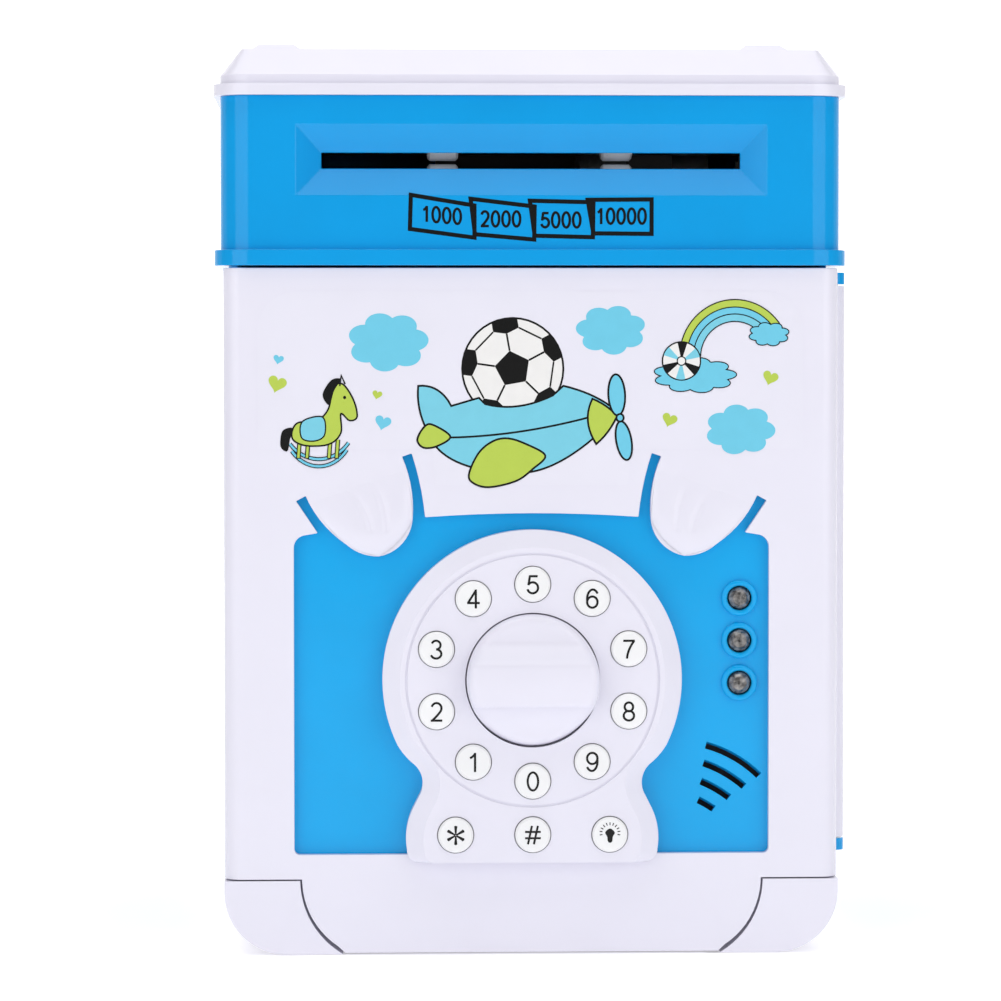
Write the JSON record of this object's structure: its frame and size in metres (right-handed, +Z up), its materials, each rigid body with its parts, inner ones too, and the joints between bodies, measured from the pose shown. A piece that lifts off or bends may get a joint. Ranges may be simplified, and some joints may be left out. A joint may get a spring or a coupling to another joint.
{
  "type": "toy cash machine money box",
  "caption": "Toy cash-machine money box with a motor-fed note slot, coin slot, keypad, locking knob and a hinged door to the cash compartment.",
  "frame": {"origin": "centre of the flat underside of the base tray, on the surface it stands on", "axes": "+Z up, -Y out of the door, +X towards the door's hinge"},
  "size_m": [0.1341, 0.1245, 0.1951],
  "materials": {
    "shell_white": "smooth satin-gloss moulded ABS",
    "case_blue": "smooth gloss moulded ABS",
    "panel_blue": "satin moulded ABS",
    "key_cream": "smooth moulded plastic with printed digits",
    "lamp_clear": "clear domed epoxy",
    "roller_grey": "ground rubber",
    "pad_rubber": "matt rubber",
    "mat_rubber": "moulded silicone rubber",
    "steel": "drawn and plated steel",
    "motor_steel": "pressed zinc-plated steel",
    "gear_white": "moulded acetal",
    "deck_black": "textured moulded ABS",
    "board_green": "solder-masked circuit board",
    "coil_copper": "enamelled copper winding",
    "cell_wrap": "printed foil sleeve",
    "cone_paper": "pressed paper"
  },
  "bodies": {
    "case": {"lower_case": "case_blue", "base_tray": "shell_white", "rubber_feet": "pad_rubber", "case_screws": "steel", "hinge_pins": "steel", "head_housing": "case_blue", "top_lid": "shell_white", "handle_pins": "steel", "coin_chute": "deck_black", "feeder_deck": "deck_black", "idler_axle": "steel", "note_guide_lower": "deck_black", "note_guide_upper": "deck_black", "feed_motor": "motor_steel", "motor_clip": "deck_black", "feeder_board": "board_green"},
    "handle": {"carry_handle": "shell_white"},
    "feed_drive": {"feed_shaft": "steel", "feed_rollers": "roller_grey", "feed_gear": "gear_white"},
    "pinch_drive": {"pinch_shaft": "steel", "pinch_rollers": "roller_grey"},
    "idler": {"idler_gear": "gear_white"},
    "motor_rotor": {"motor_pinion": "gear_white", "motor_shaft": "steel"},
    "door": {"door_shell": "shell_white", "door_panel": "panel_blue", "dial_housing": "shell_white", "keypad_mat": "mat_rubber", "keypad_board": "board_green", "status_lights": "lamp_clear", "light_board": "board_green", "speaker_basket": "steel", "speaker_cone": "cone_paper", "door_back": "shell_white", "door_screws": "steel", "lock_cover": "shell_white", "solenoid_frame": "steel", "solenoid_coil": "coil_copper", "battery_cells": "cell_wrap", "battery_contacts": "steel", "battery_cover": "shell_white"},
    "lock_knob": {"knob": "shell_white", "knob_screw": "steel", "latch_cam": "gear_white"},
    "bolt": {"latch_bolt": "gear_white"},
    "plunger": {"solenoid_plunger": "steel"},
    "key_0_cap": {"key_0": "key_cream"},
    "key_1_cap": {"key_1": "key_cream"},
    "key_2_cap": {"key_2": "key_cream"},
    "key_3_cap": {"key_3": "key_cream"},
    "key_4_cap": {"key_4": "key_cream"},
    "key_5_cap": {"key_5": "key_cream"},
    "key_6_cap": {"key_6": "key_cream"},
    "key_7_cap": {"key_7": "key_cream"},
    "key_8_cap": {"key_8": "key_cream"},
    "key_9_cap": {"key_9": "key_cream"},
    "key_star_cap": {"key_star": "key_cream"},
    "key_hash_cap": {"key_hash": "key_cream"},
    "key_light_cap": {"key_light": "key_cream"}
  },
  "joints": [
    {"name": "door_hinge", "type": "hinge", "parent": "case", "child": "door", "pos_m": [0.0653, -0.0413, 0.08], "axis": [0, 0, 1], "range_deg": [0, 110]},
    {"name": "handle_pivot", "type": "hinge", "parent": "case", "child": "handle", "pos_m": [0, 0.0065, 0.1917], "axis": [1, 0, 0], "range_deg": [0, 90]},
    {"name": "feed_roll", "type": "hinge", "parent": "case", "child": "feed_drive", "pos_m": [0, -0.0435, 0.1592], "axis": [1, 0, 0], "continuous": true},
    {"name": "pinch_roll", "type": "hinge", "parent": "case", "child": "pinch_drive", "pos_m": [0, -0.0435, 0.1739], "axis": [1, 0, 0], "continuous": true},
    {"name": "idler_spin", "type": "hinge", "parent": "case", "child": "idler", "pos_m": [0, -0.02617, 0.16164], "axis": [1, 0, 0], "continuous": true},
    {"name": "motor_spin", "type": "hinge", "parent": "case", "child": "motor_rotor", "pos_m": [0, -0.01248, 0.16455], "axis": [1, 0, 0], "continuous": true},
    {"name": "knob_turn", "type": "hinge", "parent": "door", "child": "lock_knob", "pos_m": [0, -0.05, 0.0579], "axis": [0, 1, 0], "range_deg": [0, 90]},
    {"name": "bolt_slide", "type": "slide", "parent": "door", "child": "bolt", "axis": [-1, 0, 0], "range_m": [0, 0.006]},
    {"name": "plunger_slide", "type": "slide", "parent": "door", "child": "plunger", "axis": [0, 0, -1], "range_m": [0, 0.003], "stiffness_N_per_m": 100, "springref_m": -0.001},
    {"name": "key_0_press", "type": "slide", "parent": "door", "child": "key_0_cap", "axis": [0, 1, 0], "range_m": [0, 0.001], "stiffness_N_per_m": 400},
    {"name": "key_1_press", "type": "slide", "parent": "door", "child": "key_1_cap", "axis": [0, 1, 0], "range_m": [0, 0.001], "stiffness_N_per_m": 400},
    {"name": "key_2_press", "type": "slide", "parent": "door", "child": "key_2_cap", "axis": [0, 1, 0], "range_m": [0, 0.001], "stiffness_N_per_m": 400},
    {"name": "key_3_press", "type": "slide", "parent": "door", "child": "key_3_cap", "axis": [0, 1, 0], "range_m": [0, 0.001], "stiffness_N_per_m": 400},
    {"name": "key_4_press", "type": "slide", "parent": "door", "child": "key_4_cap", "axis": [0, 1, 0], "range_m": [0, 0.001], "stiffness_N_per_m": 400},
    {"name": "key_5_press", "type": "slide", "parent": "door", "child": "key_5_cap", "axis": [0, 1, 0], "range_m": [0, 0.001], "stiffness_N_per_m": 400},
    {"name": "key_6_press", "type": "slide", "parent": "door", "child": "key_6_cap", "axis": [0, 1, 0], "range_m": [0, 0.001], "stiffness_N_per_m": 400},
    {"name": "key_7_press", "type": "slide", "parent": "door", "child": "key_7_cap", "axis": [0, 1, 0], "range_m": [0, 0.001], "stiffness_N_per_m": 400},
    {"name": "key_8_press", "type": "slide", "parent": "door", "child": "key_8_cap", "axis": [0, 1, 0], "range_m": [0, 0.001], "stiffness_N_per_m": 400},
    {"name": "key_9_press", "type": "slide", "parent": "door", "child": "key_9_cap", "axis": [0, 1, 0], "range_m": [0, 0.001], "stiffness_N_per_m": 400},
    {"name": "key_star_press", "type": "slide", "parent": "door", "child": "key_star_cap", "axis": [0, 1, 0], "range_m": [0, 0.001], "stiffness_N_per_m": 400},
    {"name": "key_hash_press", "type": "slide", "parent": "door", "child": "key_hash_cap", "axis": [0, 1, 0], "range_m": [0, 0.001], "stiffness_N_per_m": 400},
    {"name": "key_light_press", "type": "slide", "parent": "door", "child": "key_light_cap", "axis": [0, 1, 0], "range_m": [0, 0.001], "stiffness_N_per_m": 400}
  ],
  "couplings": [
    {"joint": "pinch_roll", "follows": "feed_roll", "ratio": -1.029},
    {"joint": "idler_spin", "follows": "feed_roll", "ratio": -0.66667},
    {"joint": "motor_spin", "follows": "feed_roll", "ratio": 2},
    {"joint": "bolt_slide", "follows": "knob_turn", "m_per_rad": 0.0038197}
  ]
}
